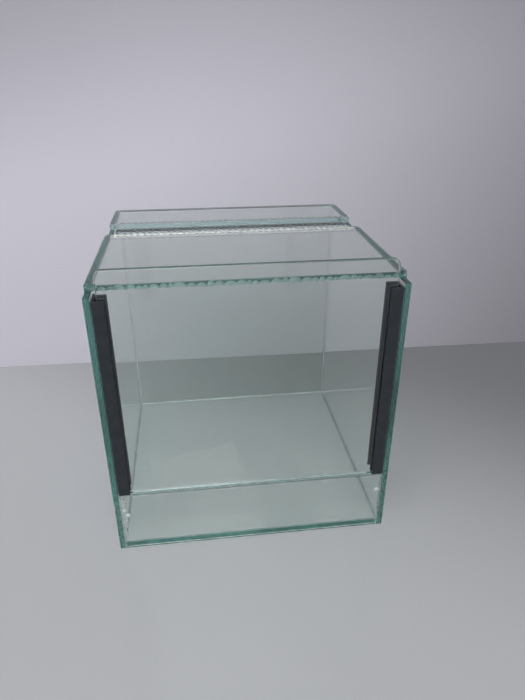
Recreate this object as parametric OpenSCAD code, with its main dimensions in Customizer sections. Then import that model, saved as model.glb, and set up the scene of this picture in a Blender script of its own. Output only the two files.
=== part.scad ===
// Glass reptile terrarium with a lifting front door.
// Millimetres, +Z up. The door side faces -Y. The origin is at the middle of the
// rectangle that the tank stands on, so X and Y are symmetric about the tank's walls.

/* [Tank] */
// Outside width, over the two side panels
tank_w = 200; // [150:5:400]
// Outside depth, from the front edges to the back panel's outer face
tank_d = 200; // [170:5:400]
// Height from the table to the underside of the two top plates
tank_h = 200; // [150:5:400]

/* [Glass] */
// Thickness of every fixed pane
glass_t = 4; // [3:0.5:6]
// Width of the ground arris along each pane's edges
arris = 0.4; // [0.2:0.1:0.6]
// Radius of the ground rear corners of the two top plates
plate_corner_r = 4; // [2:0.5:8]

/* [Front] */
// Height of the fixed strip below the door, which holds the substrate back
strip_h = 50; // [30:5:80]

/* [Top] */
// Setback of the top panel from the front, which leaves the door room to rise
top_setback = 10; // [9:0.5:20]
// Depth of the fixed strip at the rear of the top
rear_strip_d = 50; // [30:5:70]
// Width of the ventilation gap between the two top plates
vent_gap = 30; // [20:1:40]

/* [Door] */
// Thickness of the door glass
door_t = 4; // [3:0.5:4.5]
// Height by which the door stands above the top panel, to be gripped
door_grip = 11; // [6:1:30]
// Radius of the door's two ground upper corners
door_corner_r = 5; // [2:0.5:12]
// Free space between each side edge of the door and the floor of its track
door_side_gap = 1.7; // [0.5:0.1:2.5]

/* [Door channels] */
// Depth of the double-track channel, from its glued web to the tips of its legs
channel_depth = 8; // [7:0.5:12]
// Wall of the channel's web and legs
channel_wall = 1.3; // [1:0.1:1.6]
// Clear width of each of the two tracks
track_w = 5.3; // [5:0.1:6]
// Gap between the channel's sawn top end and the underside of the top panel
channel_top_gap = 3.5; // [2:0.5:10]

/* [Ventilation grille] */
// Thickness of the perforated sheet
grille_t = 0.8; // [0.5:0.1:1.5]
// Width by which the sheet is tucked under each top plate
grille_lap = 7.5; // [5:0.5:8]
// Free space between each end of the sheet and the side panel
grille_end_gap = 1; // [0.5:0.5:3]
// Diameter of the punched holes
hole_d = 3; // [2:0.5:3.5]
// Distance between neighbouring holes, in rows staggered by half of it
hole_pitch = 5; // [5:0.5:8]

/* [Silicone] */
// Thickness of the silicone film between two glued faces
glue_t = 0.5; // [0.3:0.1:0.8]
// Leg of the hollow silicone bead along each inside corner
bead = 2; // [1.5:0.25:3]

/* [Hidden] */
$fn = 48;

// Outer faces of the tank
half_w = tank_w / 2;
front_y = -tank_d / 2;
back_y = tank_d / 2;

// Inner faces of the fixed panes
side_x = half_w - glass_t;
strip_y = front_y + glass_t;
wall_y = back_y - glass_t;

// Edges of the panes that are glued to a face, one film short of it
pane_x = side_x - glue_t;
side_top_z = tank_h - glue_t;

// Top plates and the gap between them
top_z = tank_h + glass_t;
top_front_y = front_y + top_setback;
rear_front_y = back_y - rear_strip_d;
top_back_y = rear_front_y - vent_gap;

// Perforated sheet, hung one film below the top plates
grille_l = 2 * (side_x - grille_end_gap);
grille_w = vent_gap + 2 * grille_lap;
grille_front_y = top_back_y - grille_lap;
grille_back_y = rear_front_y + grille_lap;
grille_z = side_top_z - grille_t;
row_pitch = hole_pitch * sqrt(3) / 2;
// A hole is punched where at least a quarter of its diameter lies on the sheet
hole_reach_x = grille_l / 2 + hole_d / 4;
hole_reach_y = grille_w / 2 + hole_d / 4;
hole_cols = ceil(hole_reach_x / hole_pitch);
hole_rows = floor(hole_reach_y / row_pitch);

// Double-track channel, standing on the front strip
channel_w = 3 * channel_wall + 2 * track_w;
channel_l = tank_h - channel_top_gap - strip_h;
leg_pitch = channel_wall + track_w;
tip_r = channel_wall / 2;

// Door, in the middle of its track
door_w = 2 * (pane_x - channel_wall - door_side_gap);
door_h = top_z + door_grip - strip_h;
door_y = front_y + channel_wall + (track_w - door_t) / 2;

// Thickness at which a hollow bead ends on each face
bead_tip = 0.15;
// Height of the floor beads' upper tips
floor_bead_z = glass_t + bead;

// Colours as photographed
glass_colour = [0.62, 0.76, 0.72, 0.45];
channel_colour = [0.13, 0.14, 0.16];
steel_colour = [0.78, 0.79, 0.80];
silicone_colour = [0.85, 0.88, 0.88, 0.6];

// Outline of a pane, w by h from the middle of its lower edge. Its two upper
// corners are ground round.
module pane_outline(w, h, corner_r) {
    if (corner_r > 0) {
        translate([-w / 2, 0])
            square([w, h - corner_r]);
        translate([corner_r - w / 2, 0])
            square([w - 2 * corner_r, h]);
        for (side = [-1, 1])
            translate([side * (w / 2 - corner_r), h - corner_r])
                circle(r = corner_r);
    } else {
        translate([-w / 2, 0])
            square([w, h]);
    }
}

// Section through a pane, a by b from the origin, with its four edges arrised
module arrised_section(a, b) {
    polygon([
        [arris, 0], [a - arris, 0], [a, arris], [a, b - arris],
        [a - arris, b], [arris, b], [0, b - arris], [0, arris]
    ]);
}

// Pane of float glass that lies on z = 0, with ground arrises along its edges
module pane(w, h, t, corner_r = 0) {
    intersection() {
        linear_extrude(t)
            pane_outline(w, h, corner_r);
        translate([-w / 2, 0, 0])
            rotate([90, 0, 90])
                linear_extrude(w)
                    arrised_section(h, t);
        translate([-w / 2, h, 0])
            rotate([90, 0, 0])
                linear_extrude(h)
                    arrised_section(w, t);
    }
}

// Pane that stands across the tank on its lower edge at z, its front face at y
module standing_pane(w, h, t, y, z, corner_r = 0) {
    translate([0, y + t, z])
        rotate([90, 0, 0])
            pane(w, h, t, corner_r);
}

// Draws a left hand piece as it is, or mirrors it to the right hand side
module on_side(side) {
    mirror([side > 0 ? 1 : 0, 0, 0])
        children();
}

module side_panel(side) {
    color(glass_colour)
        on_side(side)
            translate([-half_w, 0, 0])
                rotate([90, 0, 90])
                    pane(tank_d, side_top_z, glass_t);
}

module left_side_panel() {
    side_panel(-1);
}

module right_side_panel() {
    side_panel(1);
}

module back_panel() {
    color(glass_colour)
        standing_pane(2 * pane_x, side_top_z, glass_t, wall_y, 0);
}

module floor_panel() {
    floor_front_y = strip_y + glue_t;
    floor_back_y = wall_y - glue_t;
    color(glass_colour)
        translate([0, floor_front_y, 0])
            pane(2 * pane_x, floor_back_y - floor_front_y, glass_t);
}

module front_strip() {
    color(glass_colour)
        standing_pane(2 * pane_x, strip_h, glass_t, front_y, 0);
}

module top_panel() {
    color(glass_colour)
        translate([0, top_front_y, tank_h])
            pane(tank_w, top_back_y - top_front_y, glass_t, plate_corner_r);
}

module rear_top_strip() {
    color(glass_colour)
        translate([0, rear_front_y, tank_h])
            pane(tank_w, rear_strip_d, glass_t, plate_corner_r);
}

// Row of holes along x. Every second row is shifted by half a pitch.
module hole_row(row) {
    shift = (abs(row) % 2) * hole_pitch / 2;
    for (col = [-hole_cols : hole_cols]) {
        x = col * hole_pitch + shift;
        if (abs(x) <= hole_reach_x)
            translate([x, row * row_pitch])
                circle(d = hole_d);
    }
}

// Strip cut from staggered perforated sheet, so its edges run through some holes
module vent_grille() {
    color(steel_colour)
        translate([0, (grille_front_y + grille_back_y) / 2, grille_z])
            linear_extrude(grille_t)
                difference() {
                    square([grille_l, grille_w], center = true);
                    for (row = [-hole_rows : hole_rows])
                        hole_row(row);
                }
}

// Section of the double-track channel. Its glued web stands on x = 0 and its
// three round-tipped legs reach along +x, the front one on y = 0.
module channel_section() {
    square([channel_wall, channel_w]);
    for (leg = [0 : 2])
        translate([0, leg * leg_pitch]) {
            square([channel_depth - tip_r, channel_wall]);
            translate([channel_depth - tip_r, tip_r])
                circle(r = tip_r);
        }
}

// Channel beside the door opening, flush with the side panel's front edge
module door_channel(side) {
    color(channel_colour)
        on_side(side)
            translate([-pane_x, front_y, strip_h])
                linear_extrude(channel_l)
                    channel_section();
}

module left_door_channel() {
    door_channel(-1);
}

module right_door_channel() {
    door_channel(1);
}

// Door in the front tracks, resting on the front strip
module lifting_door() {
    color(glass_colour)
        standing_pane(door_w, door_h, door_t, door_y, strip_h, door_corner_r);
}

// Silicone between a face on x = 0 and the edge of a pane that fills y = 0 to
// glass_t: a film along the edge, and a hollow bead in the corner above the pane.
// film and beading are the ranges of z over which each of the two runs.
module seam(film, beading) {
    translate([0, 0, film[0]])
        linear_extrude(film[1] - film[0])
            square([glue_t, glass_t]);
    translate([0, glass_t, beading[0]])
        linear_extrude(beading[1] - beading[0])
            difference() {
                square(bead);
                translate([bead, bead])
                    circle(r = bead - bead_tip);
            }
}

// Turns a seam to run along the floor, from the given place towards -y
module along_floor() {
    rotate([90, 0, 0])
        children();
}

// Turns a seam to hang below a top plate, from the given place towards -y
module below_plate() {
    rotate([0, 90, 0])
        rotate([90, 0, 0])
            children();
}

module floor_side_seam(side) {
    run = [0, wall_y - strip_y];
    color(silicone_colour)
        on_side(side)
            translate([-side_x, wall_y, 0])
                along_floor()
                    seam(run, run);
}

module floor_seam_left() {
    floor_side_seam(-1);
}

module floor_seam_right() {
    floor_side_seam(1);
}

// Seam along the floor's rear edge, between the beads of the two side seams
module floor_seam_back() {
    color(silicone_colour)
        translate([0, wall_y, 0])
            rotate([0, 0, -90])
                along_floor()
                    seam([-pane_x, pane_x], [bead - side_x, side_x - bead]);
}

module floor_seam_front() {
    color(silicone_colour)
        translate([0, strip_y, 0])
            rotate([0, 0, 90])
                along_floor()
                    seam([-pane_x, pane_x], [bead - side_x, side_x - bead]);
}

// Upright seam between the back panel and a side panel
module corner_seam(side) {
    color(silicone_colour)
        on_side(side)
            translate([-side_x, back_y, 0])
                mirror([0, 1, 0])
                    seam([0, side_top_z], [floor_bead_z, tank_h - bead]);
}

module corner_seam_left() {
    corner_seam(-1);
}

module corner_seam_right() {
    corner_seam(1);
}

// Upright seam between the front strip and a side panel
module strip_seam(side) {
    color(silicone_colour)
        on_side(side)
            translate([-side_x, front_y, 0])
                seam([0, strip_h], [floor_bead_z, strip_h]);
}

module strip_seam_left() {
    strip_seam(-1);
}

module strip_seam_right() {
    strip_seam(1);
}

// Seam between a side panel's upper edge and the top panel, its bead up to the grille
module top_seam(side) {
    film = [0, top_back_y - top_front_y];
    color(silicone_colour)
        on_side(side)
            translate([-half_w, top_back_y, tank_h])
                below_plate()
                    seam(film, [grille_lap, film[1]]);
}

module top_seam_left() {
    top_seam(-1);
}

module top_seam_right() {
    top_seam(1);
}

// Seam between a side panel's upper edge and the rear top strip
module rear_top_side_seam(side) {
    color(silicone_colour)
        on_side(side)
            translate([-half_w, back_y, tank_h])
                below_plate()
                    seam([0, rear_strip_d], [glass_t, back_y - grille_back_y]);
}

module rear_top_seam_left() {
    rear_top_side_seam(-1);
}

module rear_top_seam_right() {
    rear_top_side_seam(1);
}

module rear_top_seam_back() {
    color(silicone_colour)
        translate([0, back_y, tank_h])
            rotate([0, 0, -90])
                below_plate()
                    seam([-side_x, side_x], [bead - side_x, side_x - bead]);
}

// Film that hangs one long edge of the grille from a top plate
module grille_film(y) {
    color(silicone_colour)
        translate([-grille_l / 2, y, side_top_z])
            cube([grille_l, grille_lap, glue_t]);
}

module grille_seam_front() {
    grille_film(grille_front_y);
}

module grille_seam_rear() {
    grille_film(rear_front_y);
}

// Film that holds a channel's web on the side panel
module channel_film(side) {
    color(silicone_colour)
        on_side(side)
            translate([-side_x, front_y, strip_h])
                cube([glue_t, channel_w, channel_l]);
}

module channel_seam_left() {
    channel_film(-1);
}

module channel_seam_right() {
    channel_film(1);
}

left_side_panel();
right_side_panel();
back_panel();
floor_panel();
front_strip();
top_panel();
rear_top_strip();
vent_grille();
left_door_channel();
right_door_channel();
lifting_door();
floor_seam_left();
floor_seam_right();
floor_seam_back();
floor_seam_front();
corner_seam_left();
corner_seam_right();
strip_seam_left();
strip_seam_right();
top_seam_left();
top_seam_right();
rear_top_seam_left();
rear_top_seam_right();
rear_top_seam_back();
grille_seam_front();
grille_seam_rear();
channel_seam_left();
channel_seam_right();
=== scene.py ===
import math

import bmesh
import bpy
from mathutils import Matrix, Vector, noise


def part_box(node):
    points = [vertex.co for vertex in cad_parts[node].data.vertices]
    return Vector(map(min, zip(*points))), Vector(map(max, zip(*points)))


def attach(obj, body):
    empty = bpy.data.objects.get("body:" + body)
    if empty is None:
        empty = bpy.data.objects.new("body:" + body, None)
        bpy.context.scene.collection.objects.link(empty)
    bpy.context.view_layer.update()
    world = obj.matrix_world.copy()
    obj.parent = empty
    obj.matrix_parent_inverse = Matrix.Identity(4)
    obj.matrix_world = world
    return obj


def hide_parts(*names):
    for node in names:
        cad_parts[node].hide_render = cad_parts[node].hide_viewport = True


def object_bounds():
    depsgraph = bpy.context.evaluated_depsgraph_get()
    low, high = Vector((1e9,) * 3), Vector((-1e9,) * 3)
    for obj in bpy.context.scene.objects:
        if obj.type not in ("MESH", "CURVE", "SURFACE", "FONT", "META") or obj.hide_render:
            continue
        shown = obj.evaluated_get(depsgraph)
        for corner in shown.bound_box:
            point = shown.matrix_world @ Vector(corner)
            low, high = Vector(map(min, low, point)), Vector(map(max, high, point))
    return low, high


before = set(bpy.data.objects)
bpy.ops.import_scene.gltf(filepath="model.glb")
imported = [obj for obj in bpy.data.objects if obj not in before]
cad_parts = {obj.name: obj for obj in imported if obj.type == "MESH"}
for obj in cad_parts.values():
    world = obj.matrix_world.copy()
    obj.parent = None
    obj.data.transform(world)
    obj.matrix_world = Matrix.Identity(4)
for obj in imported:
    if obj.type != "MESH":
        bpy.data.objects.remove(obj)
cad_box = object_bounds()

# The camera stands above and a little to the left of the tank's middle and looks down at
# the door side. Its place and lens come from fifteen glass corners seen in the photograph.
CAMERA_PLACE = Vector((-0.0348, -0.4168, 0.3222))
CAMERA_PITCH = math.radians(27.09)
CAMERA_YAW = math.radians(7.36)
FOCAL_PIXELS = 564.7
LONG_SIDE_PIXELS = 700
SENSOR = 36.0

lens = bpy.data.cameras.new("camera")
lens.sensor_width = SENSOR
lens.lens = FOCAL_PIXELS * SENSOR / LONG_SIDE_PIXELS
camera = bpy.data.objects.new("camera", lens)
bpy.context.scene.collection.objects.link(camera)
camera.location = CAMERA_PLACE
camera.rotation_euler = (math.pi / 2 - CAMERA_PITCH, 0, -CAMERA_YAW)
bpy.context.scene.camera = camera
bpy.context.scene.view_settings.view_transform = "Standard"

# Light bounces many times between the two faces of a pane before it leaves at an edge,
# which is what makes the edges of float glass green, so more bounces are traced.
cycles = bpy.context.scene.cycles
cycles.max_bounces = 40
cycles.glossy_bounces = 40
cycles.transmission_bounces = 40
cycles.transparent_max_bounces = 24

# The studio is a pale, glossy table top with a pale wall close behind the tank, under one
# large soft box, with a weaker one at each side. Painted shade darkens the table towards the
# back right, and the wall towards the right and towards the top. Far away the table fades
# into the room, and from behind the wall lets the eye through.
TABLE_HALF = 6.0
TABLE_GAP = 0.0002
TABLE_COLOUR = (0.475, 0.488, 0.502, 1)
TABLE_ROUGHNESS = 0.2
# Painted shade: the table darkens towards the back right.
TABLE_PAINTED_SHADE = [((0.8, 1.0, 0.0), (-0.12, 0.36), 0.45)]
TABLE_FADES = (0.8, 2.6)
WALL_COLOUR = (0.745, 0.72, 0.805, 1)
WALL_ROUGHNESS = 0.6
# Painted shade: the wall darkens towards the right and towards the top.
WALL_PAINTED_SHADE = [((1.0, 0.0, 0.0), (-0.1, 0.5), 0.45), ((-0.2, 0.0, 1.0), (0.22, 0.46), 0.53)]
WALL_PLACE = 0.198
WALL_TURN = math.radians(-1.37)
WALL_HALF = 2.5
WALL_HEIGHT = 1.6
PAINT_CLOUD_SCALE = 0.6
PAINT_CLOUD_SHADE = 0.94
PAINT_IOR = 1.4
ROOM_COLOUR = (0.49, 0.48, 0.53, 1)
ROOM_LIGHT = 0.43
LAMPS_FACE = Vector((0, 0, 0.1))
SOFT_BOXES = [
    ("soft_box_top", (-0.3, -0.9, 1.6), 1.2, 20.2),
    ("soft_box_left", (-1.5, -0.6, 0.8), 0.8, 1.0),
    ("soft_box_right", (1.5, -0.9, 1.0), 0.8, 1.0),
]


def new_material(name):
    """A material with an empty node tree, its nodes and its links."""
    material = bpy.data.materials.new(name)
    material.use_nodes = True
    nodes = material.node_tree.nodes
    nodes.clear()
    return material, nodes, material.node_tree.links


def mesh_object(name, mesh):
    made = bpy.data.objects.new(name, mesh)
    bpy.context.scene.collection.objects.link(made)
    return made


def math_node(nodes, links, operation, *values):
    """The output of a Math node whose inputs are sockets or numbers."""
    node = nodes.new("ShaderNodeMath")
    node.operation = operation
    for i, value in enumerate(values):
        if isinstance(value, bpy.types.NodeSocket):
            links.new(value, node.inputs[i])
        else:
            node.inputs[i].default_value = value
    return node.outputs[0]


def range_node(nodes, links, value, low, high, to_low=0.0, to_high=1.0):
    """The output of a smooth Map Range node."""
    node = nodes.new("ShaderNodeMapRange")
    node.interpolation_type = "SMOOTHSTEP"
    links.new(value, node.inputs["Value"])
    node.inputs["From Min"].default_value = low
    node.inputs["From Max"].default_value = high
    node.inputs["To Min"].default_value = to_low
    node.inputs["To Max"].default_value = to_high
    return node.outputs["Result"]


def noise_node(nodes, links, vector, scale, detail=2.0, stretch=None):
    """The value of a Noise Texture over vector, which stretch scales first."""
    if stretch is not None:
        scaled = nodes.new("ShaderNodeVectorMath")
        scaled.operation = "MULTIPLY"
        links.new(vector, scaled.inputs[0])
        scaled.inputs[1].default_value = stretch
        vector = scaled.outputs[0]
    node = nodes.new("ShaderNodeTexNoise")
    node.inputs["Scale"].default_value = scale
    node.inputs["Detail"].default_value = detail
    links.new(vector, node.inputs["Vector"])
    return node.outputs["Fac"]


def mix_node(nodes, links, share, first, second, kind="FLOAT"):
    """The output of a Mix node, whose inputs are sockets, numbers or colours."""
    node = nodes.new("ShaderNodeMix")
    node.data_type = kind
    for title, value in (("Factor", share), ("A", first), ("B", second)):
        if isinstance(value, bpy.types.NodeSocket):
            links.new(value, node.inputs[title])
        else:
            node.inputs[title].default_value = value
    return node.outputs["Result"]


def mix_shaders(nodes, links, share, first, second):
    """The output of a Mix Shader node whose inputs are sockets."""
    node = nodes.new("ShaderNodeMixShader")
    for i, socket in enumerate((share, first, second)):
        links.new(socket, node.inputs[i])
    return node.outputs[0]


def studio_paint(name, colour, roughness, painted_shades):
    """A painted surface with a faint cloudy tone. Each painted shade, given as (way, range,
    share), darkens it along a way, over a range, to a share of its colour: painted shade.
    Gives its material, nodes and links, its paint and place sockets, and the socket that
    takes its surface."""
    material, nodes, links = new_material(name)
    out = nodes.new("ShaderNodeOutputMaterial")
    shader = nodes.new("ShaderNodeBsdfPrincipled")
    where = nodes.new("ShaderNodeTexCoord").outputs["Object"]
    cloud = noise_node(nodes, links, where, PAINT_CLOUD_SCALE)
    cloudy = tuple(PAINT_CLOUD_SHADE * c for c in colour[:3]) + (1,)
    shaded = mix_node(nodes, links, cloud, colour, cloudy, "RGBA")
    shader.inputs["Roughness"].default_value = roughness
    shader.inputs["IOR"].default_value = PAINT_IOR
    for way, (start, end), share in painted_shades:
        along = nodes.new("ShaderNodeVectorMath")
        along.operation = "DOT_PRODUCT"
        along.inputs[1].default_value = way
        links.new(where, along.inputs[0])
        fall = range_node(nodes, links, along.outputs["Value"], start, end, 1.0, share)
        darker = nodes.new("ShaderNodeVectorMath")
        darker.operation = "SCALE"
        links.new(shaded, darker.inputs[0])
        links.new(fall, darker.inputs["Scale"])
        shaded = darker.outputs[0]
    links.new(shaded, shader.inputs["Base Color"])
    return material, nodes, links, shader.outputs["BSDF"], where, out.inputs["Surface"]


table_paint, nodes, links, paint, where, surface = studio_paint(
    "table_top", TABLE_COLOUR, TABLE_ROUGHNESS, TABLE_PAINTED_SHADE
)
far = nodes.new("ShaderNodeVectorMath")
far.operation = "LENGTH"
links.new(where, far.inputs[0])
fade = range_node(nodes, links, far.outputs["Value"], *TABLE_FADES)
room_shade = nodes.new("ShaderNodeEmission")
room_shade.inputs["Color"].default_value = ROOM_COLOUR
links.new(mix_shaders(nodes, links, fade, paint, room_shade.outputs[0]), surface)

wall_paint, nodes, links, paint, where, surface = studio_paint(
    "wall", WALL_COLOUR, WALL_ROUGHNESS, WALL_PAINTED_SHADE
)
behind = nodes.new("ShaderNodeNewGeometry").outputs["Backfacing"]
see_through = nodes.new("ShaderNodeBsdfTransparent")
links.new(mix_shaders(nodes, links, behind, paint, see_through.outputs[0]), surface)

corners = ((-1, -1), (1, -1), (1, 1), (-1, 1))
table_corners = [(x * TABLE_HALF, y * TABLE_HALF, -TABLE_GAP) for x, y in corners]
wall_corners = [(x * WALL_HALF, WALL_PLACE, max(y * WALL_HEIGHT, -TABLE_GAP)) for x, y in corners]
table_mesh = bpy.data.meshes.new("table")
table_mesh.from_pydata(table_corners, [], [(0, 1, 2, 3)])
wall_mesh = bpy.data.meshes.new("wall")
wall_mesh.from_pydata(wall_corners, [], [(0, 1, 2, 3)])
table = mesh_object("table", table_mesh)
wall = mesh_object("wall", wall_mesh)
wall.rotation_euler.z = WALL_TURN
for backdrop, paint in ((table, table_paint), (wall, wall_paint)):
    backdrop.data.materials.append(paint)

for name, place, size, watts in SOFT_BOXES:
    lamp = bpy.data.lights.new(name, "AREA")
    lamp.size = size
    lamp.energy = watts
    soft_box = bpy.data.objects.new(name, lamp)
    soft_box.location = place
    soft_box.rotation_mode = "QUATERNION"
    soft_box.rotation_quaternion = (Vector(place) - LAMPS_FACE).to_track_quat("Z", "Y")
    bpy.context.scene.collection.objects.link(soft_box)

room = bpy.data.worlds.new("room")
bpy.context.scene.world = room
room.use_nodes = True
nodes, links = room.node_tree.nodes, room.node_tree.links
nodes.clear()
out = nodes.new("ShaderNodeOutputWorld")
seen = nodes.new("ShaderNodeBackground")
lit = nodes.new("ShaderNodeBackground")
path = nodes.new("ShaderNodeLightPath")
seen.inputs["Color"].default_value = ROOM_COLOUR
lit.inputs["Color"].default_value = (1, 1, 1, 1)
lit.inputs["Strength"].default_value = ROOM_LIGHT
straight, mirrored = path.outputs["Is Camera Ray"], path.outputs["Is Glossy Ray"]
to_eye = math_node(nodes, links, "MAXIMUM", straight, mirrored)
to_eye = math_node(nodes, links, "MAXIMUM", to_eye, path.outputs["Is Transmission Ray"])
shown = mix_shaders(nodes, links, to_eye, lit.outputs[0], seen.outputs[0])
links.new(shown, out.inputs["Surface"])

# All panes are clear float glass 4 mm thick, cut by hand, with their edges rubbed down with
# a stone. Seen edge on, the glass is green. Clear silicone holds the panes together, and
# where it wets an edge the edge can't be seen.
MM = 0.001
GLASS_IOR = 1.52
GLASS_TAKES_COLOUR = (0.0, 0.49, 0.41, 1)
GLASS_TAKES = 9.2
LAMP_THROUGH_FACE = (0.975, 0.985, 0.98, 1)
FACE_TINT = (0.975, 0.98, 0.967, 1)
RIM_TINT = (0.96, 1.0, 0.99, 1)
BROKEN_TINT = (0.95, 1.0, 0.985, 1)
ARRIS = 0.5 * MM
JOINT = 0.5 * MM
WET = 0.02 * MM
RIM_STEP = 2.5 * MM
CHIP_STEP = 0.5 * MM
CHIP_SHOWS = 0.1 * MM
CHIP_DEEP = 1.0 * MM
RIM_ROWS = 8
NIPPED = 0.5 * MM
ARRIS_WANDER = 0.45
ARRIS_WAVES = 90
NIPPED_TURNS = 3
ROUND_TURNS = 8
HAIR = 1e-7

# The rim map of a pane: U runs along the rim in metres. V is below zero on both faces, and
# runs across the rim from 0 to 1, or from 2 to 3 where it is glued. Where a flake has
# broken off it is from 4 to 5, by the depth of the flake.
FACE_V = -1.0
FACE_V_SCALE = 0.1
GLUED_V = 2.0
BROKEN_V = 4.0
V_MARGIN = 0.5


def new_group(name, inputs, outputs):
    """A node group with these sockets: (name, type, value) in and (name, type) out."""
    group = bpy.data.node_groups.new(name, "ShaderNodeTree")
    for title, kind, value in inputs:
        socket = group.interface.new_socket(title, in_out="INPUT", socket_type="NodeSocket" + kind)
        if value is not None:
            socket.default_value = value
    for title, kind in outputs:
        group.interface.new_socket(title, in_out="OUTPUT", socket_type="NodeSocket" + kind)
    entry = group.nodes.new("NodeGroupInput")
    end = group.nodes.new("NodeGroupOutput")
    return group, entry, end


# Finish of a hand cut pane, for every glass in the tank: clear faces with a few wiped
# smears, rims with a soft cut surface, and frosted arrises where the stone has been.
SMEAR_SCALE = 9.0
SMEAR_STRETCH = (1, 1, 0.35)
SMEAR_SHOWS = (0.55, 0.8)
SMEAR_ROUGHNESS = 0.035
STREAK_STRETCH = (180, 9, 1)
SHELL_RIPPLE_SCALE = 1400.0
RIM_BUMP_DEPTH = 0.2 * MM
FLAKE_SHOWS = (BROKEN_V + 0.15, BROKEN_V + 0.4)
cut_glass, entry, end = new_group(
    "hand_cut_glass",
    [
        ("Rim map", "Vector", None),
        ("Place", "Vector", None),
        ("Face tint", "Color", FACE_TINT),
        ("Rim tint", "Color", RIM_TINT),
        ("Broken tint", "Color", BROKEN_TINT),
        ("Notch tint", "Color", BROKEN_TINT),
        ("Arris share", "Float", 0.13),
        ("Rim roughness", "Float", 0.10),
        ("Arris roughness", "Float", 0.36),
        ("Broken roughness", "Float", 0.22),
    ],
    [("Colour", "Color"), ("Roughness", "Float"), ("Height", "Float")],
)
nodes, links = cut_glass.nodes, cut_glass.links
split = nodes.new("ShaderNodeSeparateXYZ")
links.new(entry.outputs["Rim map"], split.inputs[0])
v = split.outputs["Y"]
above_faces = math_node(nodes, links, "GREATER_THAN", v, FACE_V / 2)
not_glued = math_node(nodes, links, "LESS_THAN", v, GLUED_V - V_MARGIN)
on_rim = math_node(nodes, links, "MULTIPLY", above_faces, not_glued)
from_middle = math_node(nodes, links, "SUBTRACT", v, 0.5)
off_middle = math_node(nodes, links, "ABSOLUTE", from_middle)
to_face = math_node(nodes, links, "SUBTRACT", 0.5, off_middle)
near_face = math_node(nodes, links, "LESS_THAN", to_face, entry.outputs["Arris share"])
at_arris = math_node(nodes, links, "MULTIPLY", on_rim, near_face)
broken = math_node(nodes, links, "GREATER_THAN", v, BROKEN_V - V_MARGIN)
in_flake = range_node(nodes, links, v, *FLAKE_SHOWS)

face_tint, rim_tint = entry.outputs["Face tint"], entry.outputs["Rim tint"]
notch_tint, broken_tint = entry.outputs["Notch tint"], entry.outputs["Broken tint"]
whole_tint = mix_node(nodes, links, on_rim, face_tint, rim_tint, "RGBA")
flake_tint = mix_node(nodes, links, in_flake, notch_tint, broken_tint, "RGBA")
tint = mix_node(nodes, links, broken, whole_tint, flake_tint, "RGBA")
links.new(tint, end.inputs["Colour"])

smear = noise_node(nodes, links, entry.outputs["Place"], SMEAR_SCALE, 4.0, SMEAR_STRETCH)
face_rough = range_node(nodes, links, smear, *SMEAR_SHOWS, 0.0, SMEAR_ROUGHNESS)
streak = noise_node(nodes, links, entry.outputs["Rim map"], 1.0, 3.0, STREAK_STRETCH)
uneven = math_node(nodes, links, "ADD", streak, 0.5)
rim_rough = math_node(nodes, links, "MULTIPLY", entry.outputs["Rim roughness"], uneven)
soft = mix_node(nodes, links, on_rim, face_rough, rim_rough)
frosted = mix_node(nodes, links, at_arris, soft, entry.outputs["Arris roughness"])
shelled = mix_node(nodes, links, broken, frosted, entry.outputs["Broken roughness"])
links.new(shelled, end.inputs["Roughness"])

ripple = noise_node(nodes, links, entry.outputs["Place"], SHELL_RIPPLE_SCALE, 1.0)
rim_waves = math_node(nodes, links, "MULTIPLY", streak, on_rim)
shell_waves = math_node(nodes, links, "MULTIPLY", ripple, broken)
waves = math_node(nodes, links, "ADD", rim_waves, shell_waves)
links.new(waves, end.inputs["Height"])


def lamp_or_diffuse(nodes, links):
    """1 for a ray that goes to a lamp or comes from a dull surface, else 0."""
    path = nodes.new("ShaderNodeLightPath")
    to_lamp, from_dull = path.outputs["Is Shadow Ray"], path.outputs["Is Diffuse Ray"]
    return math_node(nodes, links, "MAXIMUM", to_lamp, from_dull)


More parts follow.
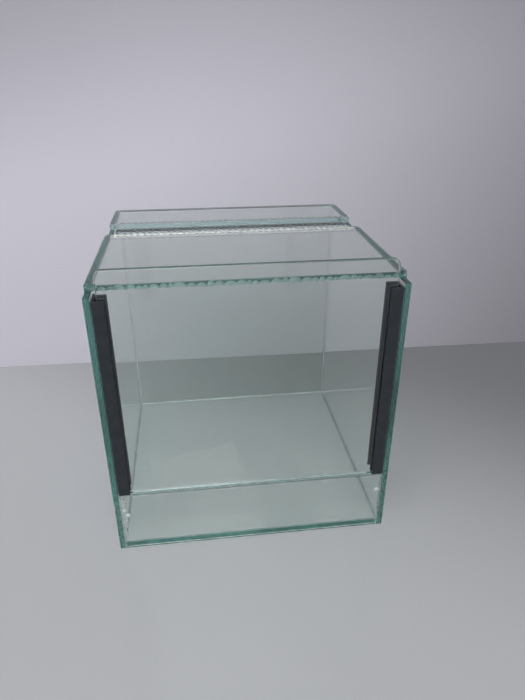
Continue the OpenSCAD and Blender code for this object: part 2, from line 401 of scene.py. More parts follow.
def glass_material(name, rim_bump, **finish):
    """Clear glass that tints light by the way it goes inside. Lamps and diffuse light
    pass straight through, so the table and the grille under it stay lit. Where clear
    silicone wets the glass it has no surface to see."""
    material, nodes, links = new_material(name)
    out = nodes.new("ShaderNodeOutputMaterial")
    shader = nodes.new("ShaderNodeBsdfPrincipled")
    group = nodes.new("ShaderNodeGroup")
    group.node_tree = cut_glass
    for title, value in finish.items():
        group.inputs[title.replace("_", " ")].default_value = value
    rim_map = nodes.new("ShaderNodeUVMap")
    rim_map.uv_map = "rim_map"
    where = nodes.new("ShaderNodeTexCoord")
    links.new(rim_map.outputs["UV"], group.inputs["Rim map"])
    links.new(where.outputs["Object"], group.inputs["Place"])
    links.new(group.outputs["Colour"], shader.inputs["Base Color"])
    links.new(group.outputs["Roughness"], shader.inputs["Roughness"])
    bump = nodes.new("ShaderNodeBump")
    bump.inputs["Strength"].default_value = rim_bump
    bump.inputs["Distance"].default_value = RIM_BUMP_DEPTH
    links.new(group.outputs["Height"], bump.inputs["Height"])
    links.new(bump.outputs["Normal"], shader.inputs["Normal"])
    shader.inputs["IOR"].default_value = GLASS_IOR
    shader.inputs["Transmission Weight"].default_value = 1.0
    let_through = nodes.new("ShaderNodeBsdfTransparent")
    let_through.inputs["Color"].default_value = LAMP_THROUGH_FACE
    split = nodes.new("ShaderNodeSeparateXYZ")
    links.new(rim_map.outputs["UV"], split.inputs[0])
    v = split.outputs["Y"]
    past_dry = math_node(nodes, links, "GREATER_THAN", v, GLUED_V - V_MARGIN)
    whole = math_node(nodes, links, "LESS_THAN", v, BROKEN_V - V_MARGIN)
    wetted = math_node(nodes, links, "MULTIPLY", past_dry, whole)
    no_surface = math_node(nodes, links, "MAXIMUM", lamp_or_diffuse(nodes, links), wetted)
    surface = mix_shaders(nodes, links, no_surface, shader.outputs[0], let_through.outputs[0])
    links.new(surface, out.inputs["Surface"])
    depth = nodes.new("ShaderNodeVolumeAbsorption")
    depth.inputs["Color"].default_value = GLASS_TAKES_COLOUR
    depth.inputs["Density"].default_value = GLASS_TAKES
    links.new(depth.outputs["Volume"], out.inputs["Volume"])
    return material


def in_joint(joints, edge, on_edge):
    return any(first <= on_edge <= last for first, last in joints.get(edge, ()))


def walk_outline(low, high, radii, steps, joints):
    """Points round a rectangle whose four corners, from the low one counter-clockwise,
    have these radii, with a pair of points at each end of a joint. Each point is (place,
    way inwards, edge, distance along the walk, distance along the edge, press into the
    joint)."""
    corners = [(low[0], low[1]), (high[0], low[1]), (high[0], high[1]), (low[0], high[1])]
    walk, gone = [], 0.0
    for edge in range(4):
        start, end = Vector(corners[edge]), Vector(corners[(edge + 1) % 4])
        along = (end - start).normalized()
        inwards = Vector((-along.y, along.x))
        press = -inwards * (JOINT + WET)
        next_press = along * (JOINT + WET)
        r, next_r = radii[edge], radii[(edge + 1) % 4]
        length = (end - start).length - r - next_r
        count = max(2, round(length / steps[edge]))
        stops = [length * i / count for i in range(count + 1)]
        for joint in joints.get(edge, ()):
            for stop in joint:
                if r < stop < r + length:
                    stops += [stop - r - WET, stop - r + WET]
        for done in sorted(stops):
            on_edge = r + done
            pressed = press * in_joint(joints, edge, on_edge)
            walk.append((start + along * on_edge, inwards, edge, gone + done, on_edge, pressed))
        gone += length
        turns = NIPPED_TURNS if next_r < MM else ROUND_TURNS
        centre = end - along * next_r + inwards * next_r
        for i in range(1, turns):
            angle = math.atan2(-inwards.y, -inwards.x) + math.pi / 2 * i / turns
            out_way = Vector((math.cos(angle), math.sin(angle)))
            done = next_r * math.pi / 2 * i / turns
            on_edge = r + length + done
            pressed = press * in_joint(joints, edge, on_edge)
            pressed = pressed + next_press * in_joint(joints, (edge + 1) % 4, 0.0)
            walk.append((centre + out_way * next_r, -out_way, edge, gone + done, on_edge, pressed))
        gone += next_r * math.pi / 2
    return walk


def axis_way(axis, sign=1.0):
    """The unit vector along this axis, 0 to 2, or against it where sign is -1."""
    return Vector([sign * float(i == axis) for i in range(3)])


def slice_skin(bm, axis, place, keep=0):
    """Cut the whole skin at this place along an axis. It keeps both sides, or only the
    side that the sign of keep points to."""
    way = axis_way(axis, keep or 1.0)
    everything = bm.verts[:] + bm.edges[:] + bm.faces[:]
    bmesh.ops.bisect_plane(
        bm, geom=everything, dist=HAIR, plane_co=axis_way(axis) * place, plane_no=way,
        clear_inner=bool(keep)
    )


def plain_rim(edge, along, seed):
    """How wide a stone has taken the two arrises at this place of the rim."""
    spots = [Vector((along * ARRIS_WAVES, seed + side * 7.3, 0.0)) for side in (0, 1)]
    return [ARRIS * (1.0 + ARRIS_WANDER * noise.noise(spot)) for spot in spots]


def hand_cut_pane(
    name, node, material, body="tank", radii=(NIPPED,) * 4, joints={},
    touches=(), chips=None, lift=0.0
):
    """A pane in the place of a CAD node, with uneven arrises round its rim. radii are its
    corners' radii. joints gives, for an edge, the stretches that are glued: there the clear
    film has no surface of its own, so the rim goes on through it and wets the next pane.
    touches are the panes whose rims are glued to a face of this one. chips is a broken
    edge that says how far the rim is broken back at (edge, along it, share across), and
    lift raises the lower edge."""
    lo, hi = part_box(node)
    lo.z += lift
    size = hi - lo
    across = min(range(3), key=lambda i: size[i])
    a, b = [i for i in range(3) if i != across]
    thickness = size[across]
    steps = [RIM_STEP] * 4
    if chips:
        steps[chips.edge] = CHIP_STEP
    walk = walk_outline((lo[a], lo[b]), (hi[a], hi[b]), radii, steps, joints)
    seed = sum(ord(c) for c in name) % 97
    mesh = bpy.data.meshes.new(name)
    bm = bmesh.new()
    rim_map = bm.loops.layers.uv.new("rim_map")
    rings = []
    for place, inwards, edge, along, on_edge, pressed in walk:
        low_arris, high_arris = plain_rim(edge, along, seed)
        if pressed.length > 0:
            low_arris = high_arris = WET
        ring = []
        for row in range(RIM_ROWS + 1):
            if row == 0:
                depth, back = 0.0, low_arris
            elif row == RIM_ROWS:
                depth, back = thickness, high_arris
            else:
                share = (row - 1) / (RIM_ROWS - 2)
                depth = low_arris + (thickness - low_arris - high_arris) * share
                back = 0.0
            chip = chips(edge, on_edge, depth / thickness) if chips else 0.0
            spot = place + inwards * max(back, chip) + pressed
            co = Vector((0, 0, 0))
            co[a], co[b], co[across] = spot.x, spot.y, lo[across] + depth
            ring.append((bm.verts.new(co), along, depth / thickness, chip))
        rings.append(ring)
    for i, ring in enumerate(rings):
        after = rings[(i + 1) % len(rings)]
        step = (walk[(i + 1) % len(walk)][0] - walk[i][0]).length
        if step < HAIR:
            continue
        wet = GLUED_V if walk[i][5].length > 0 else 0.0
        for row in range(RIM_ROWS):
            quad = [ring[row], after[row], after[row + 1], ring[row + 1]]
            face = bm.faces.new([v[0] for v in quad])
            flaked = sum(v[3] for v in quad) / 4 > CHIP_SHOWS
            for loop, corner, far in zip(face.loops, quad, (0, 1, 1, 0)):
                v = BROKEN_V + min(1.0, corner[3] / CHIP_DEEP) if flaked else wet + corner[2]
                loop[rim_map].uv = (ring[row][1] + far * step, v)
    for row, order in ((0, -1), (RIM_ROWS, 1)):
        face = bm.faces.new([ring[row][0] for ring in rings][::order])
        for loop in face.loops:
            loop[rim_map].uv = (loop.vert.co[a], FACE_V + loop.vert.co[b] * FACE_V_SCALE)
    for neighbour in touches:
        near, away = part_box(neighbour)
        near[across] -= JOINT + WET
        away[across] += JOINT + WET
        for axis in (a, b):
            for stop in (near[axis], away[axis]):
                if lo[axis] + WET < stop < hi[axis] - WET:
                    slice_skin(bm, axis, stop)
        for face in bm.faces:
            middle = face.calc_center_median()
            if all(near[i] < middle[i] < away[i] for i in range(3)):
                for loop in face.loops:
                    loop[rim_map].uv.y = GLUED_V
    bmesh.ops.recalc_face_normals(bm, faces=bm.faces)
    bm.to_mesh(mesh)
    bm.free()
    pane = mesh_object(name, mesh)
    pane.data.materials.append(material)
    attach(pane, body)
    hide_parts(node)
    return pane


def between(limits, share):
    """The value at this share of the way from the first limit to the second."""
    return limits[0] + (limits[1] - limits[0]) * share


class BrokenEdge:
    """Shell-shaped flakes that a glass cutter's wheel or pliers leave along one edge of a
    pane, from start to end along it. Between flakes lies up to apart times a width of
    glass broken back by least only. Most flakes come off the lower or left face."""

    WIDTHS = (0.45, 1.65)
    DEPTHS = (0.3, 1.2)
    REACHES = (0.6, 1.05)
    RUNS_ON = 0.62
    OTHER_FACE = 0.88

    def __init__(self, edge, start, end, seed, width, depth, apart=0.0, least=0.0):
        self.edge = edge
        self.least = least
        self.flakes = []
        place, i = start, 0
        while place < end:
            spots = [Vector((seed * 3.1 + i * 1.7, 5.3 * k + 0.5, seed)) for k in range(5)]
            spin = [0.5 + 0.5 * noise.cell(spot) for spot in spots]
            wide = width * between(self.WIDTHS, spin[0])
            reach = between(self.REACHES, spin[1])
            deep = depth * between(self.DEPTHS, spin[2])
            other_face = spin[3] > self.OTHER_FACE
            self.flakes.append((place + wide / 2, wide * self.RUNS_ON, reach, deep, other_face))
            place += wide + width * apart * spin[4]
            i += 1

    def __call__(self, edge, along, share):
        if edge != self.edge:
            return 0.0
        back = self.least
        for middle, half, reach, depth, other_face in self.flakes:
            x = (along - middle) / half
            if abs(x) < 1:
                y = (1 - share if other_face else share) / reach
                rest = 1 - x * x - y * y
                if rest > 0:
                    back = max(back, depth * math.sqrt(rest))
        return back


# The floor pane is a square of clear float glass. It lies on the table between the four
# upright panes, and clear silicone holds all four of its edges.
float_glass = glass_material("float_glass", rim_bump=0.25)
WHOLE_EDGE = ((0.0, 1.0),)
floor_joints = {edge: WHOLE_EDGE for edge in range(4)}
hand_cut_pane("floor_pane", "floor_panel", float_glass, joints=floor_joints)

# The side panels are float glass and run the whole depth, so their front edges show full
# height. These edges were nibbled with pliers near their lower ends. The top panel and the
# rear top strip are glued down on the upper edges.
BOTTOM, FAR, TOP, NEAR = range(4)
FLAKE_ROUGHNESS = 0.34
low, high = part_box("left_side_panel")
plate_front, plate_back = (corner.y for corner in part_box("top_panel"))
strip_front, strip_back = (corner.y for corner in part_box("rear_top_strip"))
plate_joints = {
    TOP: ((high.y - strip_back, high.y - strip_front), (high.y - plate_back, high.y - plate_front))
}
side_touches = ("floor_panel", "back_panel")
side_glass = glass_material("side_glass", rim_bump=0.25, Broken_roughness=FLAKE_ROUGHNESS)
foot = high.z - low.z
left_nibbles = BrokenEdge(
    NEAR, foot - 42 * MM, foot - 12 * MM, seed=6, width=4.0 * MM, depth=1.6 * MM, apart=0.8
)
right_nibbles = BrokenEdge(
    NEAR, foot - 60 * MM, foot - 8 * MM, seed=9, width=4.5 * MM, depth=1.2 * MM, apart=0.6
)
for name, node, nibbles in (
    ("left_side_pane", "left_side_panel", left_nibbles),
    ("right_side_pane", "right_side_panel", right_nibbles),
):
    hand_cut_pane(name, node, side_glass, joints=plate_joints, touches=side_touches, chips=nibbles)

# The back panel is float glass whose faces are tinted grey, darker than those of the other
# panes, so the wall and table seen through it are darker. It stands between the side panels,
# under the rear top strip, and is glued along three edges.
back_glass = glass_material("back_glass", rim_bump=0.25, Face_tint=(0.73, 0.78, 0.745, 1))
back_joints = {edge: WHOLE_EDGE for edge in (FAR, TOP, NEAR)}
hand_cut_pane("back_pane", "back_panel", back_glass, joints=back_joints, touches=("floor_panel",))

# The fixed front strip is float glass. It carries the door and keeps the ground litter in.
# It is glued between the side panels, and silicone is smeared over its ends.
strip_glass = glass_material("strip_glass", rim_bump=0.25, Arris_roughness=0.6)
hand_cut_pane("front_strip_pane", "front_strip", strip_glass, touches=("floor_panel",))

# The top panel is float glass, glued down on the side panels and set back so that the door
# can rise in front of it. Its front edge was broken off after scoring and left rough, and
# its rear corners are ground round.
FRONT = BOTTOM
low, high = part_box("top_panel")
front_breakout = BrokenEdge(
    FRONT, 0.0, high.x - low.x, seed=4, width=5.0 * MM, depth=1.8 * MM, apart=0.25,
    least=0.12 * MM
)
PLATE_CORNERS = (NIPPED, NIPPED, 4 * MM, 4 * MM)
top_glass = glass_material(
    "top_glass", rim_bump=0.12, Face_tint=(0.94, 0.955, 0.92, 1), Rim_roughness=0.03,
    Broken_roughness=FLAKE_ROUGHNESS, Broken_tint=(0.96, 0.88, 0.88, 1),
    Notch_tint=(0.03, 0.10, 0.09, 1)
)
side_walls = ("left_side_panel", "right_side_panel")
hand_cut_pane(
    "top_pane", "top_panel", top_glass, radii=PLATE_CORNERS, touches=side_walls,
    chips=front_breakout
)

# The rear top strip is float glass, glued down on the side panels and the back panel. It
# leaves the ventilation gap between itself and the top panel.
walls = side_walls + ("back_panel",)
hand_cut_pane("rear_top_pane", "rear_top_strip", float_glass, radii=PLATE_CORNERS, touches=walls)

# Clear silicone holds every joint. Pressed out along the inside corner it is smoothed
# into a slim hollow bead with a few trapped bubbles. At the ends of the front strip, behind
# the channels and on the grille it is a film, and there it has gone cloudy in places.
GLASS_T = 4 * MM
SILICONE_IOR = 1.48
SILICONE_CLOUD_SCALE = 200.0
SILICONE_CLOUD_SHOWS = (0.42, 0.68)
LAMP_THROUGH_SILICONE = (0.97, 0.98, 0.98, 1)
BEAD_STEP = 3 * MM
BEAD_SMALLER = 0.28
BEAD_WAVES = 70
BUBBLE_EVERY = 5 * MM
BUBBLE_RADII = (0.12 * JOINT, 0.34 * JOINT)
BEAD_BUBBLE = 0.55 * MM

# How each seam lies: the axis that it runs along, the way to the pane that it wets beside
# the bead, and the way in which the bead grows out of the joint. A film has no bead.
SEAM_LAY = {
    "floor_seam_left": ("y", "-x", "+z"),
    "floor_seam_right": ("y", "+x", "+z"),
    "floor_seam_back": ("x", "+y", "+z"),
    "floor_seam_front": ("x", "-y", "+z"),
    "corner_seam_left": ("z", "-x", "-y"),
    "corner_seam_right": ("z", "+x", "-y"),
    "strip_seam_left": ("z", "-x", "+y"),
    "strip_seam_right": ("z", "+x", "+y"),
    "top_seam_left": ("y", "+z", "+x"),
    "top_seam_right": ("y", "+z", "-x"),
    "rear_top_seam_left": ("y", "+z", "+x"),
    "rear_top_seam_right": ("y", "+z", "-x"),
    "rear_top_seam_back": ("x", "+z", "-y"),
    "grille_seam_front": ("x", None, None),
    "grille_seam_rear": ("x", None, None),
    "channel_seam_left": ("z", None, None),
    "channel_seam_right": ("z", None, None),
}

# The seams at the ends of the strip: their look, how many of their lumps are white, and
# the lumps of squeezed-out silicone on the strip's inner face, white ones first, each as
# (x, z, half width, half height) in millimetres.
STRIP_SMEARS = {
    "strip_seam_left": ("cloudy", 2, [
        (-94.0, 33.5, 1.3, 1.7),
        (-91.6, 29.0, 1.6, 1.5),
        (-94.0, 42.0, 1.5, 6.0),
        (-93.4, 23.0, 1.6, 4.5),
    ]),
    "strip_seam_right": ("clear", 1, [
        (93.6, 33.0, 2.0, 1.4),
        (94.6, 40.5, 0.6, 3.0),
    ]),
}
WHITE_LUMP = 1.1 * MM
FLAT_LUMP = 0.35 * MM
LUMP_WETS = 0.25 * MM
LUMP_WANDER = 0.35
LUMP_WAVES = 1.6


def silicone_material(name, clear, smooth, rough, colour):
    """Silicone that is this clear, from smooth to rough in a cloudy pattern."""
    material, nodes, links = new_material(name)
    out = nodes.new("ShaderNodeOutputMaterial")
    shader = nodes.new("ShaderNodeBsdfPrincipled")
    where = nodes.new("ShaderNodeTexCoord")
    cloud = noise_node(nodes, links, where.outputs["Object"], SILICONE_CLOUD_SCALE, 2.0)
    cloudy = range_node(nodes, links, cloud, *SILICONE_CLOUD_SHOWS, smooth, rough)
    links.new(cloudy, shader.inputs["Roughness"])
    shader.inputs["Base Color"].default_value = colour
    shader.inputs["IOR"].default_value = SILICONE_IOR
    shader.inputs["Transmission Weight"].default_value = clear
    let_through = nodes.new("ShaderNodeBsdfTransparent")
    let_through.inputs["Color"].default_value = LAMP_THROUGH_SILICONE
    skip = lamp_or_diffuse(nodes, links)
    surface = mix_shaders(nodes, links, skip, shader.outputs[0], let_through.outputs[0])
    links.new(surface, out.inputs["Surface"])
    return material


def silicone_lump(bm, middle, half, seed, paint):
    """A smeared lump with a wandering outline, as its own closed skin of this material."""
    made = bmesh.ops.create_icosphere(bm, subdivisions=3, radius=1.0)
    for v in made["verts"]:
        wander = 1 + LUMP_WANDER * noise.noise(v.co * LUMP_WAVES + Vector((seed, 0, 0)))
        v.co = middle + Vector([v.co[i] * half[i] * wander for i in range(3)])
    for face in {f for v in made["verts"] for f in v.link_faces}:
        face.material_index = paint
        face.smooth = True


def silicone_seam(node, clear, cloudy, white):
    """A silicone seam in the place of a CAD node: a film, or an uneven bead, that wets the
    glass by a hair and holds bubbles."""
    run_axis, wall_way, bead_way = SEAM_LAY[node]
    run = "xyz".index(run_axis)
    lo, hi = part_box(node)
    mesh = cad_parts[node].data.copy()
    mesh.name = node + "_silicone"
    mesh.materials.clear()
    bm = bmesh.new()
    bm.from_mesh(mesh)
    bmesh.ops.remove_doubles(bm, verts=bm.verts, dist=10 * HAIR)
    look, whites, smears = STRIP_SMEARS.get(node, ("clear", 0, []))
    seed = sum(ord(c) for c in node)
    if wall_way:
        wall, bead = "xyz".index(wall_way[1]), "xyz".index(bead_way[1])
        corner_wall = lo[wall] if wall_way[0] == "-" else hi[wall]
        off_wall = 1 if wall_way[0] == "-" else -1
        grows = 1 if bead_way[0] == "+" else -1
        corner_bead = (lo[bead] if grows > 0 else hi[bead]) + grows * GLASS_T
        if not smears:
            slice_skin(bm, bead, corner_bead, keep=grows)
            bmesh.ops.holes_fill(bm, edges=[e for e in bm.edges if e.is_boundary])
    for i in range(1, int((hi[run] - lo[run]) / BEAD_STEP)):
        cut = lo + axis_way(run) * BEAD_STEP * i
        slice_skin(bm, run, cut[run])
    if wall_way:
        for v in bm.verts:
            reach = (v.co[bead] - corner_bead) * grows
            if reach > WET:
                swell = noise.noise(Vector((v.co[run] * BEAD_WAVES, seed, 0.0)))
                share = 1 - BEAD_SMALLER + BEAD_SMALLER * swell
                v.co[bead] = corner_bead + grows * reach * share
                v.co[wall] = corner_wall + (v.co[wall] - corner_wall) * share
    bm.normal_update()
    moves = []
    for v in bm.verts:
        ways = []
        for face in v.link_faces:
            if all(face.normal.dot(w) < 0.9 for w in ways):
                ways.append(face.normal.copy())
        moves.append(sum(ways, Vector()) * WET)
    for v, move in zip(bm.verts, moves):
        v.co += move
        for i in range(3):
            v.co[i] = min(max(v.co[i], cad_box[0][i]), cad_box[1][i])
    for i in range(int((hi[run] - lo[run]) / BUBBLE_EVERY)):
        spots = [Vector((seed * 0.37, i * 3.7, k * 9.1 + 0.3)) for k in range(3)]
        spin = [0.5 + 0.5 * noise.noise(spot) for spot in spots]
        middle = (lo + hi) / 2
        middle[run] = lo[run] + BUBBLE_EVERY * (i + spin[0])
        if smears:
            middle[wall] = corner_wall + off_wall * JOINT / 2
            middle[bead] = corner_bead - grows * GLASS_T * between((0.15, 0.85), spin[1])
        elif wall_way:
            middle[wall] = corner_wall + off_wall * BEAD_BUBBLE
            middle[bead] = corner_bead + grows * BEAD_BUBBLE * between((0.6, 1.0), spin[1])
        made = bmesh.ops.create_icosphere(
            bm, subdivisions=1, radius=between(BUBBLE_RADII, spin[2]),
            matrix=Matrix.Translation(middle)
        )
        bubble = {f for v in made["verts"] for f in v.link_faces}
        bmesh.ops.reverse_faces(bm, faces=list(bubble))
    for i, (x, z, half_w, half_h) in enumerate(smears):
        half_d = WHITE_LUMP if i < whites else FLAT_LUMP
        middle = Vector((x * MM, corner_bead + half_d - LUMP_WETS, z * MM))
        half = Vector((half_w * MM, half_d, half_h * MM))
        silicone_lump(bm, middle, half, seed + i * 5.7, 1 if i < whites else 0)
    bm.to_mesh(mesh)
    bm.free()
    seam = mesh_object(node + "_silicone", mesh)
    seam.data.materials.append(cloudy if look == "cloudy" else clear)
    if smears:
        seam.data.materials.append(white)
    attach(seam, "tank")
    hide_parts(node)
    return seam


clear_silicone = silicone_material(
    "clear_silicone", clear=1.0, smooth=0.02, rough=0.14, colour=(0.97, 0.98, 0.98, 1)
)
cloudy_silicone = silicone_material(
    "cloudy_silicone", clear=0.8, smooth=0.2, rough=0.5, colour=(0.88, 0.92, 0.91, 1)
)
white_silicone = silicone_material(
    "white_silicone", clear=0.1, smooth=0.2, rough=0.5, colour=(0.8, 0.82, 0.82, 1)
)
for seam_node in SEAM_LAY:
    silicone_seam(seam_node, clear_silicone, cloudy_silicone, white_silicone)

# The ventilation gap is closed by a strip cut from staggered perforated steel sheet, 3 mm
# holes at 5 mm, glued up under the plates. The punch has rolled the upper edge of each
# hole and torn its wall, and the shears have gone through the outer holes.
HOLE_R = 1.5 * MM
HOLE_PITCH = 5 * MM
ROW_PITCH = HOLE_PITCH * math.sqrt(3) / 2
HOLE_ROWS = 5
HOLE_COLS = 20
HOLE_SIDES = 20
ROLLED_EDGE = 0.2 * MM
TORN_EDGE = 0.08 * MM
# Painted shade: the sheet turns dark grey towards its far edge, by the rear top strip.
STEEL_PAINTED_SHADE_BAND = (39.5 * MM, 42.5 * MM, (0.24, 0.25, 0.245, 1))

# Finish of rolled steel and extruded plastic: fine lines along the piece, and dull patches.
LINES_SHOW = (0.3, 0.7)
LINE_BUMP = 0.4
DULL_PATCH_SCALE = 160.0
DULL_PATCH_SHOWS = (0.4, 0.75)
drawn_grain, entry, end = new_group(
    "drawn_grain",
    [
        ("Place", "Vector", None),
        ("Stretch", "Vector", (1, 1, 1)),
        ("Smooth", "Float", 0.2),
        ("Rough", "Float", 0.4),
        ("Colour", "Color", (0.8, 0.8, 0.8, 1)),
        ("Dull colour", "Color", (0.6, 0.6, 0.6, 1)),
    ],
    [("Colour", "Color"), ("Roughness", "Float"), ("Height", "Float")],
)
nodes, links = drawn_grain.nodes, drawn_grain.links
stretched = nodes.new("ShaderNodeVectorMath")
stretched.operation = "MULTIPLY"
links.new(entry.outputs["Place"], stretched.inputs[0])
links.new(entry.outputs["Stretch"], stretched.inputs[1])
lines = noise_node(nodes, links, stretched.outputs[0], 1.0, 3.0)
patches = noise_node(nodes, links, entry.outputs["Place"], DULL_PATCH_SCALE, 4.0)
in_line = range_node(nodes, links, lines, *LINES_SHOW)
in_patch = range_node(nodes, links, patches, *DULL_PATCH_SHOWS)
plain, dull = entry.outputs["Colour"], entry.outputs["Dull colour"]
rough = mix_node(nodes, links, in_line, entry.outputs["Smooth"], entry.outputs["Rough"])
links.new(rough, end.inputs["Roughness"])
links.new(mix_node(nodes, links, in_patch, plain, dull, "RGBA"), end.inputs["Colour"])
links.new(lines, end.inputs["Height"])


def drawn_material(
    name, metallic, bump_height, stretch, smooth, rough, colour, dull_colour, painted_shade_band=None
):
    """A metal or plastic with the fine lines of rolling or extrusion along it. Its last
    argument, (from y, to y, colour), paints shade as a dark band along its far edge."""
    material, nodes, links = new_material(name)
    out = nodes.new("ShaderNodeOutputMaterial")
    shader = nodes.new("ShaderNodeBsdfPrincipled")
    shader.inputs["Metallic"].default_value = metallic
    group = nodes.new("ShaderNodeGroup")
    group.node_tree = drawn_grain
    group.inputs["Stretch"].default_value = stretch
    group.inputs["Smooth"].default_value = smooth
    group.inputs["Rough"].default_value = rough
    group.inputs["Colour"].default_value = colour
    group.inputs["Dull colour"].default_value = dull_colour
    where = nodes.new("ShaderNodeTexCoord")
    bump = nodes.new("ShaderNodeBump")
    bump.inputs["Strength"].default_value = LINE_BUMP
    bump.inputs["Distance"].default_value = bump_height
    links.new(where.outputs["Object"], group.inputs["Place"])
    colour_out = group.outputs["Colour"]
    # Painted shade: a dark band over y, towards the far edge.
    if painted_shade_band:
        start, stop, painted_shade_band_colour = painted_shade_band
        place = nodes.new("ShaderNodeSeparateXYZ")
        links.new(where.outputs["Object"], place.inputs[0])
        in_band = range_node(nodes, links, place.outputs["Y"], start, stop)
        colour_out = mix_node(nodes, links, in_band, colour_out, painted_shade_band_colour, "RGBA")
    links.new(colour_out, shader.inputs["Base Color"])
    links.new(group.outputs["Roughness"], shader.inputs["Roughness"])
    links.new(group.outputs["Height"], bump.inputs["Height"])
    links.new(bump.outputs["Normal"], shader.inputs["Normal"])
    links.new(shader.outputs["BSDF"], out.inputs["Surface"])
    return material


def sheared_outline(length, width, centres):
    """The outline of the strip, counter-clockwise, where the shears have gone through
    some of the holes. Each point is (place, way out of the sheet)."""
    x, y = length / 2, width / 2
    corners = [Vector((-x, -y)), Vector((x, -y)), Vector((x, y)), Vector((-x, y))]
    outline = []
    for edge in range(4):
        start, end = corners[edge], corners[(edge + 1) % 4]
        along = (end - start).normalized()
        inwards = Vector((-along.y, along.x))
        outline.append((start, (-inwards - along).normalized()))
        cuts = []
        for centre in centres:
            depth = (centre - start).dot(inwards)
            if abs(depth) < HOLE_R:
                cuts.append(((centre - start).dot(along), depth))
        for place, depth in sorted(cuts):
            lean = math.asin(depth / HOLE_R)
            steps = HOLE_SIDES // 2 + 2
            for i in range(steps + 1):
                angle = math.pi + lean - (math.pi + 2 * lean) * i / steps
                ray = along * math.cos(angle) + inwards * math.sin(angle)
                outline.append((start + along * place + inwards * depth + ray * HOLE_R, -ray))
    return outline


low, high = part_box("vent_grille")
sheet_l, sheet_w = high.x - low.x, high.y - low.y
sheet_middle = (low + high) / 2
hole_centres = []
for row in range(-HOLE_ROWS, HOLE_ROWS + 1):
    shift = HOLE_PITCH / 2 * (row % 2)
    for col in range(-HOLE_COLS, HOLE_COLS + 1):
        centre = Vector((col * HOLE_PITCH + shift, row * ROW_PITCH))
        if abs(centre.x) <= sheet_l / 2 + HOLE_R / 2:
            hole_centres.append(centre)
whole = [
    c for c in hole_centres
    if abs(c.x) < sheet_l / 2 - HOLE_R and abs(c.y) < sheet_w / 2 - HOLE_R
]
loops = [sheared_outline(sheet_l, sheet_w, hole_centres)]
turns = [2 * math.pi * i / HOLE_SIDES for i in range(HOLE_SIDES)]
rays = [Vector((math.cos(turn), -math.sin(turn))) for turn in turns]
for centre in whole:
    loops.append([(centre + ray * HOLE_R, -ray) for ray in rays])

# The edge of every hole from above to below: (height, way back from the wall). Its wall is
# torn between the rolled upper edge and the burr below.
profile = [
    (high.z, ROLLED_EDGE),
    (high.z - 0.1 * ROLLED_EDGE, 0.55 * ROLLED_EDGE),
    (high.z - 0.35 * ROLLED_EDGE, 0.2 * ROLLED_EDGE),
    (high.z - ROLLED_EDGE, 0.0),
    (low.z + TORN_EDGE, 0.0),
    (low.z, TORN_EDGE),
]
TORN_WALL = 3
bm = bmesh.new()
faces_edges = ([], [])
for loop in loops:
    rings = []
    for z, back in profile:
        spots = [
            (sheet_middle.x + p.x - out_way.x * back, sheet_middle.y + p.y - out_way.y * back)
            for p, out_way in loop
        ]
        rings.append([bm.verts.new((x, y, z)) for x, y in spots])
    count = len(loop)
    for level, (above, below) in enumerate(zip(rings, rings[1:])):
        for i in range(count):
            j = (i + 1) % count
            face = bm.faces.new((above[i], above[j], below[j], below[i]))
            # The torn band of each hole's wall takes the near-black steel: painted shade in the
            # hole.
            face.material_index = 1 if level == TORN_WALL else 0
            face.smooth = True
    for side, ring in enumerate((rings[0], rings[-1])):
        for i in range(count):
            faces_edges[side].append(bm.edges.get((ring[i], ring[(i + 1) % count])))
for edges in faces_edges:
    bmesh.ops.triangle_fill(bm, use_beauty=False, use_dissolve=False, edges=edges)
bmesh.ops.recalc_face_normals(bm, faces=bm.faces)
sheet_mesh = bpy.data.meshes.new("perforated_strip")
bm.to_mesh(sheet_mesh)
bm.free()
sheet_mesh.set_sharp_from_angle(angle=math.radians(50))
perforated_strip = mesh_object("perforated_strip", sheet_mesh)
rolled_steel = drawn_material(
    "rolled_steel", metallic=0.7, bump_height=0.004 * MM, stretch=(60, 1500, 1500),
    smooth=0.06, rough=0.16, colour=(0.98, 0.97, 0.96, 1), dull_colour=(0.86, 0.86, 0.86, 1),
    painted_shade_band=STEEL_PAINTED_SHADE_BAND
)
# The torn walls of the holes are near black: painted shade inside the holes.
torn_steel_painted_shade = drawn_material(
    "torn_steel_painted_shade", metallic=1.0, bump_height=0.03 * MM, stretch=(900, 900, 4000),
    smooth=0.35, rough=0.6, colour=(0.03, 0.033, 0.035, 1), dull_colour=(0.015, 0.015, 0.015, 1)
)
perforated_strip.data.materials.append(rolled_steel)
perforated_strip.data.materials.append(torn_steel_painted_shade)
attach(perforated_strip, "tank")
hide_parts("vent_grille")

# Each side of the door opening has a black extruded plastic channel with two tracks, sawn
# to length by hand and glued to the side panel. The door runs in the front track.
WEB_T = 1.3 * MM
TRACK_W = 5.3 * MM
LEG_PITCH = WEB_T + TRACK_W
TIP_R = 0.62 * MM
ROOT_R = 0.4 * MM
OUTER_R = 0.25 * MM
SAWN_STEP = 6 * MM
SAW_WANDER = 0.22 * MM
SAW_WAVES = 260
TIP_BOW = 0.05 * MM
BOW_WAVES = (22, 150)


def rounded_section(corners, turns=5):
    """Points round a section of square corners: (x, y, radius), counter-clockwise."""
    points = []
    for i, (x, y, r) in enumerate(corners):
        here = Vector((x, y))
        before = (Vector(corners[i - 1][:2]) - here).normalized()
        after = (Vector(corners[(i + 1) % len(corners)][:2]) - here).normalized()
        centre = here + (before + after) * r
        for k in range(turns + 1):
            angle = math.pi / 2 * k / turns
            points.append(centre - after * r * math.cos(angle) - before * r * math.sin(angle))
    return points


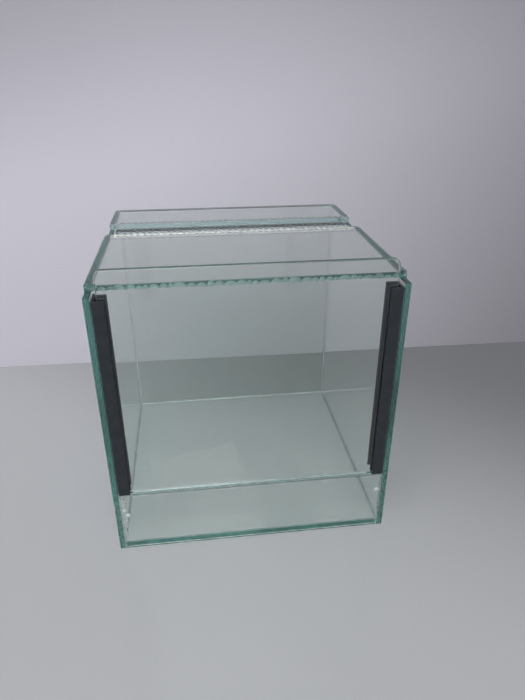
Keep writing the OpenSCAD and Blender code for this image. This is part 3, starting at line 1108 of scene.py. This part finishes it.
def door_channel(name, node, side, material):
    """A double-track channel in the place of a CAD node, on the left at side -1."""
    lo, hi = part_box(node)
    depth = hi.x - lo.x
    corners = [(0, 0, OUTER_R), (depth, 0, TIP_R), (depth, WEB_T, TIP_R), (WEB_T, WEB_T, ROOT_R)]
    for leg in (1, 2):
        y = leg * LEG_PITCH
        corners += [(WEB_T, y, ROOT_R), (depth, y, TIP_R), (depth, y + WEB_T, TIP_R)]
        corners += [(WEB_T, y + WEB_T, ROOT_R)] if leg == 1 else [(0, y + WEB_T, OUTER_R)]
    section = rounded_section(corners)
    levels = max(2, round((hi.z - lo.z) / SAWN_STEP))
    bm = bmesh.new()
    rings = []
    for level in range(levels + 1):
        z = lo.z + (hi.z - lo.z) * level / levels
        ring = []
        for p in section:
            saw_spot = Vector((p.x * SAW_WAVES, p.y * SAW_WAVES, level + side * 5.1))
            bow_spot = Vector((z * BOW_WAVES[0], p.y * BOW_WAVES[1], side * 3.3))
            wander = SAW_WANDER * (0.5 + 0.5 * noise.noise(saw_spot))
            rise = wander if level == 0 else -wander if level == levels else 0.0
            bow = TIP_BOW * (1 + noise.noise(bow_spot)) * p.x / depth
            x = lo.x + p.x - bow if side < 0 else hi.x - p.x + bow
            ring.append(bm.verts.new((x, lo.y + p.y, z + rise)))
        rings.append(ring)
    count = len(section)
    for below, above in zip(rings, rings[1:]):
        for i in range(count):
            j = (i + 1) % count
            face = bm.faces.new((below[i], below[j], above[j], above[i]))
            face.smooth = True
    bm.faces.new(rings[0])
    bm.faces.new(rings[-1])
    bmesh.ops.recalc_face_normals(bm, faces=bm.faces)
    mesh = bpy.data.meshes.new(name)
    bm.to_mesh(mesh)
    bm.free()
    mesh.set_sharp_from_angle(angle=math.radians(60))
    channel = mesh_object(name, mesh)
    channel.data.materials.append(material)
    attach(channel, "tank")
    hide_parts(node)
    return channel


channel_plastic = drawn_material(
    "channel_plastic", metallic=0.0, bump_height=0.04 * MM, stretch=(1400, 1400, 10),
    smooth=0.35, rough=0.55, colour=(0.013, 0.017, 0.022, 1),
    dull_colour=(0.022, 0.027, 0.033, 1)
)
door_channel("left_channel", "left_door_channel", -1, channel_plastic)
door_channel("right_channel", "right_door_channel", 1, channel_plastic)

# The lifting door is a loose pane of float glass in the front tracks of the channels, on
# the front strip, and it lifts straight up. Its upper corners are ground round for the
# fingers. It clears the strip by a hair, so that the two rims don't share one face.
DOOR_CORNERS = (NIPPED, NIPPED, 5 * MM, 5 * MM)
DOOR_CLEARS = 0.05 * MM
door_glass = glass_material(
    "door_glass", rim_bump=0.2, Rim_roughness=0.03, Arris_roughness=0.25
)
hand_cut_pane(
    "door_pane", "lifting_door", door_glass, "door", radii=DOOR_CORNERS,
    lift=DOOR_CLEARS
)
